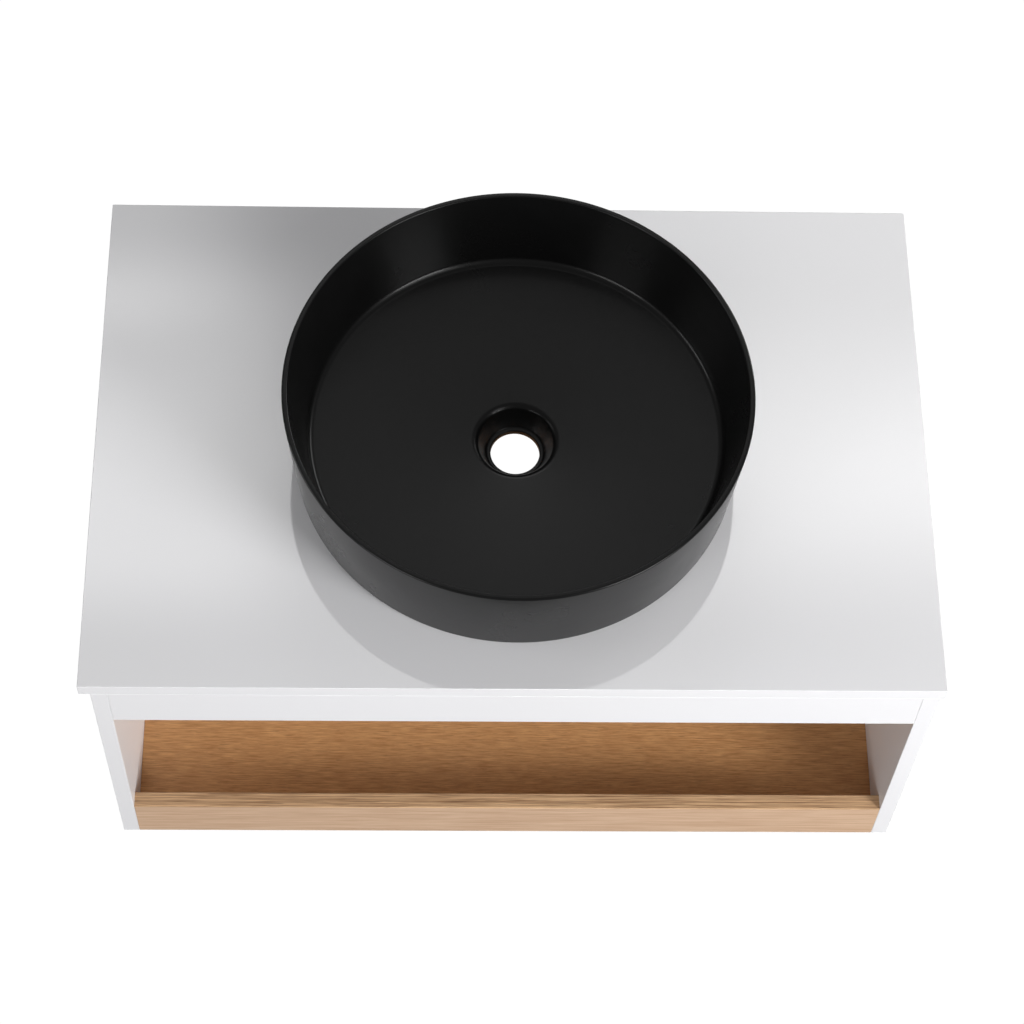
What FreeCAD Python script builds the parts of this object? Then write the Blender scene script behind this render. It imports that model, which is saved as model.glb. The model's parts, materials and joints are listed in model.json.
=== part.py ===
import FreeCAD, Part
import os
import re
import Sketcher

# A wall-hung vanity: a glossy slab with a round vessel basin on it, carried by two side panels with an
# open oak shelf between them.  Two adjustable hangers inside the top rear corners carry the cabinet on
# steel plates that are screwed to the wall.
#
# Frame: X to the right, -Y to the front, +Z up, millimetres.  The wall is the plane Y = 0, and the
# origin is the centre of the four wall screw holes.

doc = FreeCAD.newDocument("VesselSinkVanity")

SIZES = (
    # worktop and cabinet
    ("counter_width", 762, "worktop, side to side"),
    ("counter_depth", 508, "worktop and cabinet, wall to front"),
    ("slab_thickness", 15, "worktop"),
    ("side_overhang", 7, "worktop past the side panels, on average"),
    ("slab_shift", 3, "worktop left of the cabinet's middle"),
    ("panel_thickness", 15, "side panels"),
    ("panel_height", 318, "side panels"),
    ("board_thickness", 15, "rails, shelf and lip"),
    ("front_rail_height", 55, "rail under the worktop's front edge"),
    ("rear_rail_height", 100, "rail near the wall"),
    ("rear_setback", 20, "wall to the rear rail"),
    ("lip_height", 60, "oak lip in front of the shelf"),
    ("band_thickness", 1, "edge band on the lip"),
    ("notch_width", 180, "waste pipe notch in the shelf"),
    ("notch_depth", 140, "waste pipe notch in the shelf"),
    ("edge_round", 0.6, "rounding of every board edge"),
    ("fixing_drop", 95, "worktop's top face above the centre of the wall screws"),
    ("overshoot", 1, "how far a cutting tool starts outside the face it cuts"),
    # basin
    ("basin_from_front", 246, "basin centre behind the worktop's front edge"),
    ("basin_radius", 210, "outside of the rim"),
    ("basin_height", 102, "rim above the worktop"),
    ("base_radius", 202, "outside of the foot"),
    ("rim_width", 5, "rim"),
    ("bowl_radius", 189, "inside, where the wall meets the floor"),
    ("bowl_floor", 20, "floor's edge above the worktop"),
    ("sump_radius", 40, "where the floor turns down to the waste"),
    ("sump_top", 9, "floor at the sump, above the worktop"),
    ("ledge_radius", 30, "foot of the sump"),
    ("ledge_drop", 13, "ledge below the worktop's top face"),
    ("waste_radius", 22.5, "waste hole"),
    ("boss_drop", 19, "waste boss below the worktop's top face"),
    ("boss_radius", 36, "tip of the waste boss"),
    ("boss_root", 44, "waste boss where it leaves the floor"),
    ("foot_width", 14, "foot ring"),
    ("foot_recess", 3, "underside inside the foot ring"),
    ("floor_round", 8, "bowl wall to floor, and floor to sump"),
    ("rim_round", 2, "rim edges"),
    ("foot_round", 4, "outer foot edge"),
    ("cutout_radius", 50, "hole in the worktop for the waste boss"),
    ("seal_radius", 182, "outside of the seal ring"),
    ("seal_width", 14, "seal ring"),
    # knock-down fittings
    ("dowel_radius", 4, "dowel hole"),
    ("dowel_in_panel", 9, "dowel in the side panel"),
    ("dowel_in_end", 19, "dowel in the board end"),
    ("cam_radius", 7.5, "cam pocket"),
    ("cam_depth", 12, "cam pocket"),
    ("cam_inset", 24, "cam centre from the board end"),
    ("bolt_bore", 4, "bore for the cam bolt in the board end"),
    ("bolt_thread", 2.5, "cam bolt thread in the panel"),
    ("fit_gap", 0.05, "radial clearance of pins and cams in their holes"),
    ("dowel_room", 1, "dowel hole past the dowel's end"),
    ("dowel_point", 1, "chamfer on a dowel's ends"),
    ("bolt_room", 2, "cam bolt's holes past its ends"),
    ("bolt_collar", 3.7, "cam bolt's collar on the panel, radius"),
    ("bolt_collar_height", 1.5, "cam bolt's collar"),
    ("bolt_neck", 2.2, "cam bolt's neck, radius"),
    ("bolt_head", 3.3, "cam bolt's head, radius"),
    ("bolt_head_length", 5, "cam bolt's head"),
    ("bolt_point", 1, "cam bolt's tapers"),
    ("cam_bore", 3.6, "bore of the cam that takes the bolt's head"),
    ("cam_wall", 2, "cam left standing behind the bolt"),
    ("cam_slot_width", 1.4, "cross slot in the cam"),
    ("cam_slot_depth", 1.5, "cross slot in the cam"),
    ("dowel_spread", 18, "dowels above and below the middle of a rail"),
    ("low_dowel", 12, "rear rail's lower dowel above its bottom edge"),
    ("low_bolt", 30, "rear rail's cam bolt above its bottom edge"),
    ("high_dowel", 9, "rear rail's upper dowel below its top edge"),
    # corner braces
    ("brace_leg", 24, "brace leg"),
    ("brace_length", 44, "brace"),
    ("brace_sheet", 2, "brace sheet"),
    ("brace_hole", 14.4, "brace holes from the corner"),
    ("brace_from_front", 102, "front brace behind the worktop's front edge"),
    ("brace_gap", 8, "rear brace in front of the hanger"),
    ("screw_radius", 1.9, "wood screw"),
    ("screw_length", 12, "wood screw under its head"),
    ("screw_head", 4, "wood screw head, radius"),
    ("screw_head_height", 2.4, "wood screw head"),
    ("screw_head_round", 1, "bevel on the wood screw's head"),
    ("screw_taper", 2.5, "wood screw's point"),
    ("screw_blunt", 1.5, "wood screw's length lost at its point"),
    ("cross_length", 4, "cross recess of a wood screw"),
    ("cross_width", 1, "cross recess of a wood screw"),
    ("cross_depth", 1.4, "cross recess of a wood screw"),
    ("screw_play", 0.2, "screw in a sheet metal hole, radially"),
    ("pilot_length", 11, "pilot hole of a wood screw"),
    # adjustable hangers
    ("hook_seat", 46, "top of the wall plate's flange above the screw centre"),
    ("arm_height", 8, "hook arm"),
    ("slot_room", 2, "rear rail's slot past the arm's travel"),
    ("slot_side_room", 1, "rear rail's slot beside the arm"),
    ("wall_gap", 0.8, "hook tooth from the wall"),
    ("hook_width", 10, "hook, side to side"),
    ("hook_height", 26, "hook body"),
    ("hook_length", 27.5, "hook body"),
    ("tooth_depth", 12, "hook tooth behind the flange"),
    ("slide_gap", 0.3, "clearance between sliding faces"),
    ("height_travel", 6, "height adjustment, each way"),
    ("depth_travel", 8, "depth adjustment"),
    ("slider_wall", 7, "slider above and below the hook"),
    ("slider_side", 2.4, "slider wall beside the hook"),
    ("slider_length", 50, "slider"),
    ("slider_nose", 8, "slider wall in front of the hook"),
    ("lane_width", 10, "slider lane of the height screw"),
    ("housing_sheet", 2.5, "housing sheet"),
    ("housing_length", 56, "housing channel"),
    ("housing_lip", 1, "housing flange past the slider's side"),
    ("housing_gap", 1, "housing in front of the rear rail"),
    ("slider_gap", 3, "slider in front of the rear rail"),
    ("ear_length", 26, "housing ear with the wood screws"),
    ("ear_pitch", 24, "wood screws in the ear, one above the other"),
    ("flange_room", 3, "free height in the housing past the travel"),
    ("nose_room", 1, "hook behind the depth screw's collar"),
    ("stem_radius", 3, "adjusting screw"),
    ("stem_head", 6, "adjusting screw head, radius"),
    ("stem_head_height", 4, "adjusting screw head"),
    ("stem_head_bevel", 0.6, "bevel on the adjusting screw's head"),
    ("stem_point", 1, "bevel on the adjusting screw's end"),
    ("collar_radius", 4.8, "collar that holds the adjusting screw in place"),
    ("collar_height", 1.5, "collar"),
    ("key_radius", 2.3, "hexagon socket, corner radius"),
    ("key_depth", 2.5, "hexagon socket"),
    ("depth_screw_drop", 5, "depth screw below the middle of the hook"),
    ("depth_screw_reach", 30, "depth screw past its collar"),
    ("plate_sheet", 2.5, "wall plate"),
    ("plate_width", 40, "wall plate"),
    ("plate_inset", 3, "wall plate from the side panel"),
    ("plate_low", 26, "wall plate below the screw centre"),
    ("plate_joggle", 5.5, "flange's back face from the wall"),
    ("plate_bend", 27, "start of the joggle above the screw centre"),
    ("plate_bend_shift", 1, "front corners of the joggle below its back ones"),
    ("hole_spacing", 32, "wall screw holes, one above the other"),
    ("hole_radius", 3.25, "wall screw holes"),
)

sheet = doc.addObject("Spreadsheet::Sheet", "Sizes")
for row, (alias, number, note) in enumerate(SIZES, start=1):
    sheet.set(f"A{row}", str(number))
    sheet.setAlias(f"A{row}", alias)
    sheet.set(f"B{row}", note)
doc.recompute()

# ------------------------------------------------------------------ places, as formulas of the sizes
PANEL_IN = "(counter_width / 2 - side_overhang - panel_thickness)"
INSIDE_WIDTH = f"(2 * {PANEL_IN})"
SLAB_UNDER = "(fixing_drop - slab_thickness)"
BOTTOM = f"({SLAB_UNDER} - panel_height)"
SHELF_FRONT = "(board_thickness - counter_depth)"
RAIL_FRONT = "(0 - rear_setback - board_thickness)"
FRONT_RAIL_MIDDLE = f"({SLAB_UNDER} - front_rail_height / 2)"
REAR_RAIL_BOTTOM = f"({SLAB_UNDER} - rear_rail_height)"
BASIN_Y = "(basin_from_front - counter_depth)"

HANGER_Z = "(hook_seat + arm_height - hook_height / 2)"
SLIDER_HALF = "(hook_height / 2 + slider_wall)"
HOUSING_ROOM = f"({SLIDER_HALF} + height_travel + flange_room)"
HOUSING_REAR = f"({RAIL_FRONT} - housing_gap)"
SLIDER_REAR = f"({RAIL_FRONT} - slider_gap)"
SLIDER_FRONT = f"({SLIDER_REAR} - slider_length)"
LANE_START = "(housing_sheet + slide_gap)"
POCKET_START = f"({LANE_START} + lane_width)"
HOOK_START = f"({POCKET_START} + slide_gap)"
SLIDER_END = f"({HOOK_START} + hook_width + slide_gap + slider_side)"
HOOK_FRONT = f"({SLIDER_FRONT} + slider_nose + collar_height + nose_room)"
HEIGHT_SCREW_U = f"({LANE_START} + lane_width / 2)"
HEIGHT_SCREW_Y = f"({SLIDER_FRONT} + slider_length / 2)"
DEPTH_SCREW_U = f"({HOOK_START} + hook_width / 2)"
DEPTH_SCREW_Z = f"({HANGER_Z} - depth_screw_drop)"
PLATE_HOLE_U = "(plate_inset + plate_width / 2)"

ALONG_X = FreeCAD.Rotation(FreeCAD.Vector(0, 1, 0), 90)
AGAINST_X = FreeCAD.Rotation(FreeCAD.Vector(0, 1, 0), -90)
ALONG_Y = FreeCAD.Rotation(FreeCAD.Vector(1, 0, 0), -90)
AGAINST_Y = FreeCAD.Rotation(FreeCAD.Vector(1, 0, 0), 90)
DOWN = FreeCAD.Rotation(FreeCAD.Vector(1, 0, 0), 180)
UP = FreeCAD.Rotation()


# ------------------------------------------------------------------ modelling helpers
def number_of(alias):
    """The number in the sheet's cell of that name."""
    return float(sheet.get(alias))


def bind(obj, prop, formula):
    """Tie a property to a formula of the sheet's sizes."""
    obj.setExpression(prop, re.sub(r"[a-z]\w*", lambda word: "Sizes." + word.group(), str(formula)))


def put(obj, place, turn=UP):
    """Stand an object at a place given as three formulas."""
    obj.Placement = FreeCAD.Placement(FreeCAD.Vector(), turn)
    for axis, formula in zip("xyz", place):
        bind(obj, f"Placement.Base.{axis}", formula)
    return obj


def inward(depth_in):
    """X of a point that lies so far inside the left side panel's inner face."""
    return f"({depth_in} - {PANEL_IN})"


def block(low, size):
    """A plain box from its lowest corner."""
    box = doc.addObject("Part::Box", "Block")
    for prop, formula in zip(("Length", "Width", "Height"), size):
        bind(box, prop, formula)
    return put(box, low)


def rod(radius, length, start, turn=UP):
    """A cylinder from the centre of its first end."""
    cylinder = doc.addObject("Part::Cylinder", "Rod")
    bind(cylinder, "Radius", radius)
    bind(cylinder, "Height", length)
    return put(cylinder, start, turn)


def origin_plane(body, role):
    """One of the body's own origin planes."""
    return next(feature for feature in body.Origin.OriginFeatures if feature.Role == role)


def outline(body, role, corners):
    """A closed sketch of straight edges, each corner tied to its two formulas."""
    sketch = body.newObject("Sketcher::SketchObject", "Outline")
    sketch.AttachmentSupport = [(origin_plane(body, role), "")]
    sketch.MapMode = "FlatFace"
    count = len(corners)
    # any convex start will do, because the constraints move the corners to their places
    turns = [FreeCAD.Rotation(FreeCAD.Vector(0, 0, 1), 360.0 * i / count) for i in range(count)]
    spots = [turn.multVec(FreeCAD.Vector(10, 0, 0)) for turn in turns]
    for i in range(count):
        sketch.addGeometry(Part.LineSegment(spots[i], spots[(i + 1) % count]))
    for i in range(count):
        sketch.addConstraint(Sketcher.Constraint("Coincident", i, 2, (i + 1) % count, 1))
    for i, corner in enumerate(corners):
        for kind, formula in zip(("DistanceX", "DistanceY"), corner):
            index = sketch.addConstraint(Sketcher.Constraint(kind, -1, 1, i, 1, 1.0))
            bind(sketch, f"Constraints[{index}]", formula)
    return sketch


def padded(name, role, corners, length):
    """A body made by pushing an outline out of its plane."""
    body = doc.addObject("PartDesign::Body", name)
    sketch = outline(body, role, corners)
    pad = body.newObject("PartDesign::Pad", "Pad")
    pad.Profile = sketch
    bind(pad, "Length", length)
    body.Tip = pad
    return body


def turned(name, corners):
    """A body made by turning an outline of (radius, height) corners about Z."""
    body = doc.addObject("PartDesign::Body", name)
    sketch = outline(body, "XZ_Plane", corners)
    revolution = body.newObject("PartDesign::Revolution", "Revolution")
    revolution.Profile = sketch
    revolution.ReferenceAxis = (sketch, ["V_Axis"])
    revolution.Angle = 360
    body.Tip = revolution
    return body


def rounded(body, radius, edges):
    """Round the named edges of the body's last feature."""
    last = body.Tip
    fillet = body.newObject("PartDesign::Fillet", "Fillet")
    fillet.Base = (last, edges)
    bind(fillet, "Radius", radius)
    body.Tip = fillet
    return body


def rings(body, *circles):
    """Names of the body's circular edges with these (radius, height) pairs."""
    doc.recompute()
    names = []
    for index, edge in enumerate(body.Tip.Shape.Edges, start=1):
        if not isinstance(edge.Curve, Part.Circle):
            continue
        for radius, height in circles:
            if abs(edge.Curve.Radius - radius) < 0.01 and abs(edge.Curve.Center.z - height) < 0.01:
                names.append(f"Edge{index}")
    return names


def board(name, low, high):
    """A board with rounded edges, from its lowest to its highest corner."""
    (x0, y0, z0), (x1, y1, z1) = low, high
    body = padded(name, "YZ_Plane", ((y0, z0), (y1, z0), (y1, z1), (y0, z1)), f"({x1}) - ({x0})")
    rounded(body, "edge_round", [f"Edge{i}" for i in range(1, 13)])
    return put(body, (x0, 0, 0))


def joined(shapes):
    """Several overlapping shapes as one."""
    if len(shapes) == 1:
        return shapes[0]
    fuse = doc.addObject("Part::MultiFuse", "Joined")
    fuse.Shapes = shapes
    return fuse


def cut(base, tools):
    """The base with the tools taken out of it."""
    result = doc.addObject("Part::Cut", "Cut")
    result.Base = base
    result.Tool = joined(tools)
    return result


def mirrored(source):
    """The same piece on the other side of the middle plane."""
    mirror = doc.addObject("Part::Mirroring", "Mirror")
    mirror.Source = source
    mirror.Normal = (1, 0, 0)
    mirror.Base = (0, 0, 0)
    return mirror


def copy_at(prototype, place, turn=UP):
    """Another of the same piece at its own place."""
    link = doc.addObject("App::Link", "Copy")
    link.LinkedObject = prototype
    return put(link, place, turn)


def grouped(pieces, both_sides=True):
    """Identical pieces as separate solids of one node."""
    group = doc.addObject("Part::Compound", "Group")
    group.Links = pieces
    if not both_sides:
        return group
    pair = doc.addObject("Part::Compound", "Group")
    pair.Links = [group, mirrored(group)]
    return pair


nodes = {}


def node(name, obj):
    """Name a finished sub-part."""
    obj.Label = name
    nodes[name] = obj
    return obj


def node_pair(name, left):
    """Name a left sub-part and its mirrored right one."""
    node(f"{name}_left", left)
    node(f"{name}_right", mirrored(left))


# ------------------------------------------------------------------ where the fittings go
# (y, z) of each joint at the board ends; the same list on both sides
RAIL_MIDDLE_Y = "(board_thickness / 2 - counter_depth)"
REAR_RAIL_Y = "(0 - rear_setback - board_thickness / 2)"
SHELF_MIDDLE_Z = f"({BOTTOM} + board_thickness / 2)"
LIP_MIDDLE_Z = f"({BOTTOM} + lip_height / 2)"

END_DOWELS = {
    "front_rail": (
        (RAIL_MIDDLE_Y, f"({FRONT_RAIL_MIDDLE} - dowel_spread)"),
        (RAIL_MIDDLE_Y, f"({FRONT_RAIL_MIDDLE} + dowel_spread)"),
    ),
    "rear_rail": (
        (REAR_RAIL_Y, f"({REAR_RAIL_BOTTOM} + low_dowel)"),
        (REAR_RAIL_Y, f"({SLAB_UNDER} - high_dowel)"),
    ),
    "shelf": (
        ("(0 - notch_depth)", SHELF_MIDDLE_Z),
        ("(notch_depth - counter_depth)", SHELF_MIDDLE_Z),
    ),
    "lip": (
        (RAIL_MIDDLE_Y, f"({LIP_MIDDLE_Z} - dowel_spread)"),
        (RAIL_MIDDLE_Y, f"({LIP_MIDDLE_Z} + dowel_spread)"),
    ),
}
END_BOLTS = {
    "front_rail": ((RAIL_MIDDLE_Y, FRONT_RAIL_MIDDLE),),
    "rear_rail": ((REAR_RAIL_Y, f"({REAR_RAIL_BOTTOM} + low_bolt)"),),
    "shelf": (
        ("(0 - notch_depth / 2)", SHELF_MIDDLE_Z),
        ("(notch_depth / 2 - counter_depth)", SHELF_MIDDLE_Z),
    ),
}
LIP_DOWEL_X = ("(0 - counter_width / 4)", "0", "(counter_width / 4)")
HOUSING_FRONT = f"({HOUSING_REAR} - housing_length)"
EAR_MIDDLE = f"({HOUSING_FRONT} - ear_length / 2)"
BRACE_Y = (
    f"({HOUSING_FRONT} - ear_length - brace_gap - brace_length)",
    "(brace_from_front - counter_depth)",
)
BRACE_HOLES = ("(brace_length / 4)", "(brace_length * 3 / 4)")
EAR_HOLES = ("(0 - ear_pitch)", "0", "ear_pitch")


def both_ends(tool):
    """A tool at the left board end and its mirror at the right one."""
    return [tool, mirrored(tool)]


def end_tools(kind, cam_face=None, cam_turn=UP):
    """Bores in both ends of a board, and pockets for its cams."""
    tools = []
    for y, z in END_DOWELS[kind]:
        tools += both_ends(rod("dowel_radius", "(dowel_in_end + dowel_room)", (inward("0"), y, z), ALONG_X))
    for y, z in END_BOLTS.get(kind, ()):
        tools += both_ends(rod("bolt_bore", "(cam_inset + bolt_room)", (inward("0"), y, z), ALONG_X))
        face = (y, BOTTOM) if cam_face is None else (cam_face, z)
        tools += both_ends(rod("cam_radius", "cam_depth", (inward("cam_inset"), *face), cam_turn))
    return tools


# ------------------------------------------------------------------ worktop
def countertop():
    slab = board(
        "Slab",
        ("(0 - counter_width / 2 - slab_shift)", "(0 - counter_depth)", SLAB_UNDER),
        ("(counter_width / 2 - slab_shift)", "0", "fixing_drop"),
    )
    start = ("0", BASIN_Y, f"({SLAB_UNDER} - overshoot)")
    tools = [rod("cutout_radius", "(slab_thickness + 2 * overshoot)", start)]
    for y in BRACE_Y:
        for along in BRACE_HOLES:
            place = (inward("brace_hole"), f"({y} + {along})", SLAB_UNDER)
            tools += both_ends(rod("(screw_radius + fit_gap)", "pilot_length", place))
    return cut(slab, tools)


# ------------------------------------------------------------------ cabinet boards
def side_panel():
    panel = board(
        "Panel",
        ("(side_overhang - counter_width / 2)", "(0 - counter_depth)", BOTTOM),
        (inward("0"), "0", SLAB_UNDER),
    )
    tools = []
    for kind in END_DOWELS:
        for y, z in END_DOWELS[kind]:
            tools.append(rod("dowel_radius", "(dowel_in_panel + dowel_room)", (inward("0"), y, z), AGAINST_X))
    for kind in END_BOLTS:
        for y, z in END_BOLTS[kind]:
            radius = "(bolt_thread + fit_gap)"
            tools.append(rod(radius, "(dowel_in_panel + bolt_room)", (inward("0"), y, z), AGAINST_X))
    for y in BRACE_Y:
        for along in BRACE_HOLES:
            place = (inward("0"), f"({y} + {along})", f"({SLAB_UNDER} - brace_hole)")
            tools.append(rod("(screw_radius + fit_gap)", "pilot_length", place, AGAINST_X))
    for rise in EAR_HOLES:
        place = (inward("0"), EAR_MIDDLE, f"({HANGER_Z} + {rise})")
        tools.append(rod("(screw_radius + fit_gap)", "pilot_length", place, AGAINST_X))
    return cut(panel, tools)


def front_rail():
    rail = board(
        "FrontRail",
        (inward("0"), "(0 - counter_depth)", f"({SLAB_UNDER} - front_rail_height)"),
        (PANEL_IN, SHELF_FRONT, SLAB_UNDER),
    )
    return cut(rail, end_tools("front_rail", SHELF_FRONT, AGAINST_Y))


def rear_rail():
    rail = board(
        "RearRail",
        (inward("0"), RAIL_FRONT, REAR_RAIL_BOTTOM),
        (PANEL_IN, "(0 - rear_setback)", SLAB_UNDER),
    )
    slot = block(
        (
            inward(f"({HOOK_START} - slot_side_room)"),
            f"({RAIL_FRONT} - overshoot)",
            "(hook_seat - height_travel - slot_room)",
        ),
        (
            "(hook_width + 2 * slot_side_room)",
            "(board_thickness + 2 * overshoot)",
            "(arm_height + 2 * height_travel + 2 * slot_room)",
        ),
    )
    return cut(rail, end_tools("rear_rail", RAIL_FRONT, ALONG_Y) + both_ends(slot))


def shelf_board():
    shelf = board(
        "Shelf",
        (inward("0"), SHELF_FRONT, BOTTOM),
        (PANEL_IN, "0", f"({BOTTOM} + board_thickness)"),
    )
    tools = end_tools("shelf")
    tools.append(
        block(
            ("(0 - notch_width / 2)", "(0 - notch_depth)", f"({BOTTOM} - overshoot)"),
            ("notch_width", "(notch_depth + overshoot)", "(board_thickness + 2 * overshoot)"),
        )
    )
    for x in LIP_DOWEL_X:
        place = (x, SHELF_FRONT, SHELF_MIDDLE_Z)
        tools.append(rod("dowel_radius", "(dowel_in_end + dowel_room)", place, ALONG_Y))
    return cut(shelf, tools)


def shelf_lip():
    lip = board(
        "Lip",
        (inward("0"), "(0 - counter_depth)", BOTTOM),
        (PANEL_IN, SHELF_FRONT, f"({BOTTOM} + lip_height - band_thickness)"),
    )
    tools = end_tools("lip")
    for x in LIP_DOWEL_X:
        place = (x, SHELF_FRONT, SHELF_MIDDLE_Z)
        tools.append(rod("dowel_radius", "(dowel_in_panel + dowel_room)", place, AGAINST_Y))
    return cut(lip, tools)


def lip_edge_band():
    top = f"({BOTTOM} + lip_height)"
    corners = (
        ("(0 - counter_depth)", f"({top} - band_thickness)"),
        (SHELF_FRONT, f"({top} - band_thickness)"),
        (SHELF_FRONT, f"({top} - band_thickness / 3)"),
        (f"({SHELF_FRONT} - band_thickness * 2 / 3)", top),
        ("(band_thickness * 2 / 3 - counter_depth)", top),
        ("(0 - counter_depth)", f"({top} - band_thickness / 3)"),
    )
    return put(padded("Band", "YZ_Plane", corners, INSIDE_WIDTH), (inward("0"), 0, 0))


# ------------------------------------------------------------------ basin
def vessel_basin():
    basin = turned(
        "Basin",
        (
            ("waste_radius", "(0 - boss_drop)"),
            ("boss_radius", "(0 - boss_drop)"),
            ("boss_root", "foot_recess"),
            ("(base_radius - foot_width - foot_recess)", "foot_recess"),
            ("(base_radius - foot_width)", "0"),
            ("base_radius", "0"),
            ("basin_radius", "basin_height"),
            ("(basin_radius - rim_width)", "basin_height"),
            ("bowl_radius", "bowl_floor"),
            ("sump_radius", "sump_top"),
            ("ledge_radius", "(0 - ledge_drop)"),
            ("waste_radius", "(0 - ledge_drop)"),
        ),
    )
    rim = number_of("basin_radius"), number_of("basin_height")
    bowl = number_of("bowl_radius"), number_of("bowl_floor")
    sump = number_of("sump_radius"), number_of("sump_top")
    foot = number_of("base_radius"), 0.0
    ledge = number_of("ledge_radius"), -number_of("ledge_drop")
    rounded(basin, "floor_round", rings(basin, bowl, sump))
    rounded(basin, "rim_round", rings(basin, rim, (rim[0] - number_of("rim_width"), rim[1])))
    rounded(basin, "foot_round", rings(basin, foot))
    rounded(basin, "rim_round", rings(basin, ledge))
    return put(basin, ("0", BASIN_Y, "fixing_drop"))


def basin_seal():
    seal = turned(
        "Seal",
        (
            ("(seal_radius - seal_width)", "0"),
            ("seal_radius", "0"),
            ("seal_radius", "foot_recess"),
            ("(seal_radius - seal_width)", "foot_recess"),
        ),
    )
    return put(seal, ("0", BASIN_Y, "fixing_drop"))


# ------------------------------------------------------------------ knock-down fittings
def dowels():
    long = "(dowel_in_panel + dowel_in_end)"
    radius = "(dowel_radius - fit_gap)"
    pin = turned(
        "Dowel",
        (
            ("0", "0"),
            (f"({radius} - dowel_point)", "0"),
            (radius, "dowel_point"),
            (radius, f"({long} - dowel_point)"),
            (f"({radius} - dowel_point)", long),
            ("0", long),
        ),
    )
    at_ends = []
    for kind in END_DOWELS:
        for y, z in END_DOWELS[kind]:
            at_ends.append(copy_at(pin, (inward("(0 - dowel_in_panel)"), y, z), ALONG_X))
    in_lip = []
    for x in LIP_DOWEL_X:
        place = (x, f"({SHELF_FRONT} - dowel_in_panel)", SHELF_MIDDLE_Z)
        in_lip.append(copy_at(pin, place, ALONG_Y))
    return grouped([grouped(at_ends), grouped(in_lip, both_sides=False)], both_sides=False)


def cam_bolts():
    reach = "(cam_inset + bolt_point)"
    bolt = turned(
        "CamBolt",
        (
            ("0", "(0 - dowel_in_panel - bolt_point)"),
            ("bolt_thread", "(0 - dowel_in_panel)"),
            ("bolt_thread", "0"),
            ("bolt_collar", "0"),
            ("bolt_collar", "bolt_collar_height"),
            ("bolt_neck", "bolt_collar_height"),
            ("bolt_neck", f"({reach} - bolt_head_length - bolt_point)"),
            ("bolt_head", f"({reach} - bolt_head_length)"),
            ("bolt_head", f"({reach} - bolt_point)"),
            ("(bolt_head - bolt_point)", reach),
            ("0", reach),
        ),
    )
    places = [spot for kind in END_BOLTS for spot in END_BOLTS[kind]]
    return grouped([copy_at(bolt, (inward("0"), y, z), ALONG_X) for y, z in places])


def cam_locks():
    disc = rod("(cam_radius - fit_gap)", "(cam_depth - fit_gap)", ("0", "0", "0"))
    start = ("(0 - cam_radius - overshoot)", "0", "(board_thickness / 2)")
    bore = rod("cam_bore", "(cam_radius + overshoot + cam_wall)", start, ALONG_X)
    slots = []
    for turn in (0, 90):
        size = ("cam_radius", "cam_slot_width", "(cam_slot_depth + overshoot)")
        slot = block(("0", "0", "(0 - overshoot)"), size)
        slot.Placement.Rotation = FreeCAD.Rotation(FreeCAD.Vector(0, 0, 1), turn)
        centre = {
            "x": ("(0 - cam_radius / 2)", "(cam_slot_width / 2)"),
            "y": ("(0 - cam_slot_width / 2)", "(0 - cam_radius / 2)"),
        }
        for axis, pair in centre.items():
            bind(slot, f"Placement.Base.{axis}", pair[turn // 90])
        slots.append(slot)
    cam = cut(disc, [bore] + slots)
    copies = []
    for y, z in END_BOLTS["front_rail"]:
        copies.append(copy_at(cam, (inward("cam_inset"), SHELF_FRONT, z), AGAINST_Y))
    for y, z in END_BOLTS["rear_rail"]:
        copies.append(copy_at(cam, (inward("cam_inset"), RAIL_FRONT, z), ALONG_Y))
    for y, z in END_BOLTS["shelf"]:
        copies.append(copy_at(cam, (inward("cam_inset"), y, BOTTOM), UP))
    return grouped(copies)


# ------------------------------------------------------------------ corner braces
def corner_braces():
    angle = padded(
        "Brace",
        "XZ_Plane",
        (
            ("0", "0"),
            ("brace_leg", "0"),
            ("brace_leg", "(0 - brace_sheet)"),
            ("brace_sheet", "(0 - brace_sheet)"),
            ("brace_sheet", "(0 - brace_leg)"),
            ("0", "(0 - brace_leg)"),
        ),
        "brace_length",
    )
    # the outline's plane faces -Y, so the sheet starts at its front end
    put(angle, ("0", "brace_length", "0"))
    holes = []
    for along in BRACE_HOLES:
        radius = "(screw_radius + screw_play)"
        length = "(brace_sheet + 2 * overshoot)"
        holes.append(rod(radius, length, ("brace_hole", along, "(0 - brace_sheet - overshoot)")))
        holes.append(rod(radius, length, ("(0 - overshoot)", along, "(0 - brace_hole)"), ALONG_X))
    brace = cut(angle, holes)
    return grouped([copy_at(brace, (inward("0"), y, SLAB_UNDER)) for y in BRACE_Y])


def wood_screw():
    """A pan-head screw whose head sits under Z = 0 and whose point is up."""
    return turned(
        "WoodScrew",
        (
            ("0", "(0 - screw_head_height)"),
            ("(screw_head - screw_head_round)", "(0 - screw_head_height)"),
            ("screw_head", "(0 - screw_head_height / 2)"),
            ("screw_head", "0"),
            ("screw_radius", "0"),
            ("screw_radius", "(screw_length - screw_blunt - screw_taper)"),
            ("0", "(screw_length - screw_blunt)"),
        ),
    )


def cross_head_screw():
    """The wood screw with its cross recess."""
    slots = []
    for length, width in (("cross_length", "cross_width"), ("cross_width", "cross_length")):
        low = (f"(0 - {length} / 2)", f"(0 - {width} / 2)", "(0 - screw_head_height - overshoot)")
        slots.append(block(low, (length, width, "(cross_depth + overshoot)")))
    return cut(wood_screw(), slots)


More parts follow.
